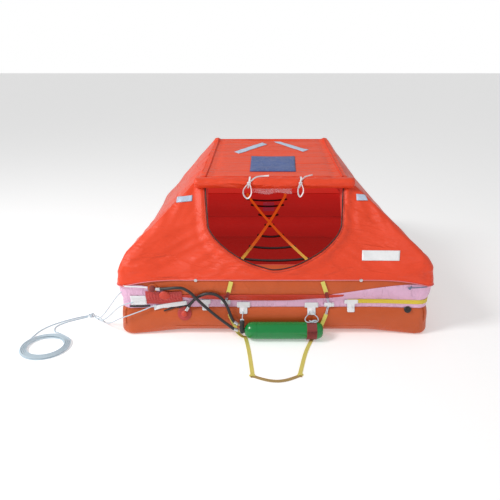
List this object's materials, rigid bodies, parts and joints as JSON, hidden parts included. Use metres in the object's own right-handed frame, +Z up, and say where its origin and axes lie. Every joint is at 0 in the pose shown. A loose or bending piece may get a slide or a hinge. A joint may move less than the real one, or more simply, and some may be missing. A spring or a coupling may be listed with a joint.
{
  "type": "inflatable life raft",
  "caption": "Square two-ring inflatable life raft with a tent canopy, door opening, gas cylinder, filling hoses, boarding ladder and coiled painter line.",
  "frame": {"origin": "on the floor under the middle of the raft and its laid-out boarding ladder, measured without the bridle lines and the painter line", "axes": "+Z up, +Y from the door towards the back of the raft, +X to the right as seen from in front of the door"},
  "size_m": [2.6014, 2.6362, 1.1049],
  "materials": {
    "tube_fabric": "coated fabric, satin",
    "arch_fabric": "coated fabric, satin",
    "canopy_fabric": "coated fabric, matt",
    "joint_band": "coated fabric tape, satin",
    "floor_fabric": "coated fabric, matt",
    "yellow_webbing": "woven webbing",
    "orange_webbing": "woven webbing",
    "red_webbing": "woven webbing",
    "white_tape": "coated tape",
    "white_rope": "braided rope",
    "blue_panel": "coated fabric, matt",
    "green_enamel": "gloss enamel",
    "black_rubber": "satin rubber"
  },
  "bodies": {
    "root": {"lower_tube": "tube_fabric", "upper_tube": "tube_fabric", "arch_tube": "arch_fabric", "door_arch": "arch_fabric", "canopy_front": "canopy_fabric", "canopy_left": "canopy_fabric", "canopy_right": "canopy_fabric", "canopy_rear": "canopy_fabric", "canopy_roof": "canopy_fabric", "door_roll": "canopy_fabric", "joint_band": "joint_band", "rear_pouch": "joint_band", "raft_floor": "floor_fabric", "water_pocket_1": "floor_fabric", "water_pocket_2": "floor_fabric", "water_pocket_3": "floor_fabric", "water_pocket_4": "floor_fabric", "lifeline": "yellow_webbing", "ladder_strap_left": "yellow_webbing", "ladder_strap_right": "yellow_webbing", "ladder_rung": "yellow_webbing", "inner_strap_left": "orange_webbing", "inner_strap_right": "orange_webbing", "cylinder_strap": "red_webbing", "red_pocket": "red_webbing", "door_tie_left": "white_tape", "door_tie_right": "white_tape", "line_patch_1": "white_tape", "line_patch_2": "white_tape", "line_patch_3": "white_tape", "line_patch_4": "white_tape", "tow_patch": "white_tape", "tow_strap": "white_tape", "inlet_lower": "white_tape", "bridle_line_1": "white_rope", "bridle_line_2": "white_rope", "bridle_line_3": "white_rope", "bridle_knot": "white_rope", "painter_line": "white_rope", "painter_return": "white_rope", "painter_coil": "white_rope", "roof_sign": "blue_panel", "gas_cylinder": "green_enamel", "hose_upper": "black_rubber", "hose_lower": "black_rubber", "inlet_upper": "black_rubber", "topping_valve": "black_rubber", "cylinder_valve": "black_rubber", "inner_rung_1": "black_rubber", "inner_rung_2": "black_rubber", "inner_rung_3": "black_rubber", "inner_rung_4": "black_rubber", "inner_rung_5": "black_rubber", "inner_rung_6": "black_rubber", "inner_rung_7": "black_rubber"}
  },
  "joints": []
}
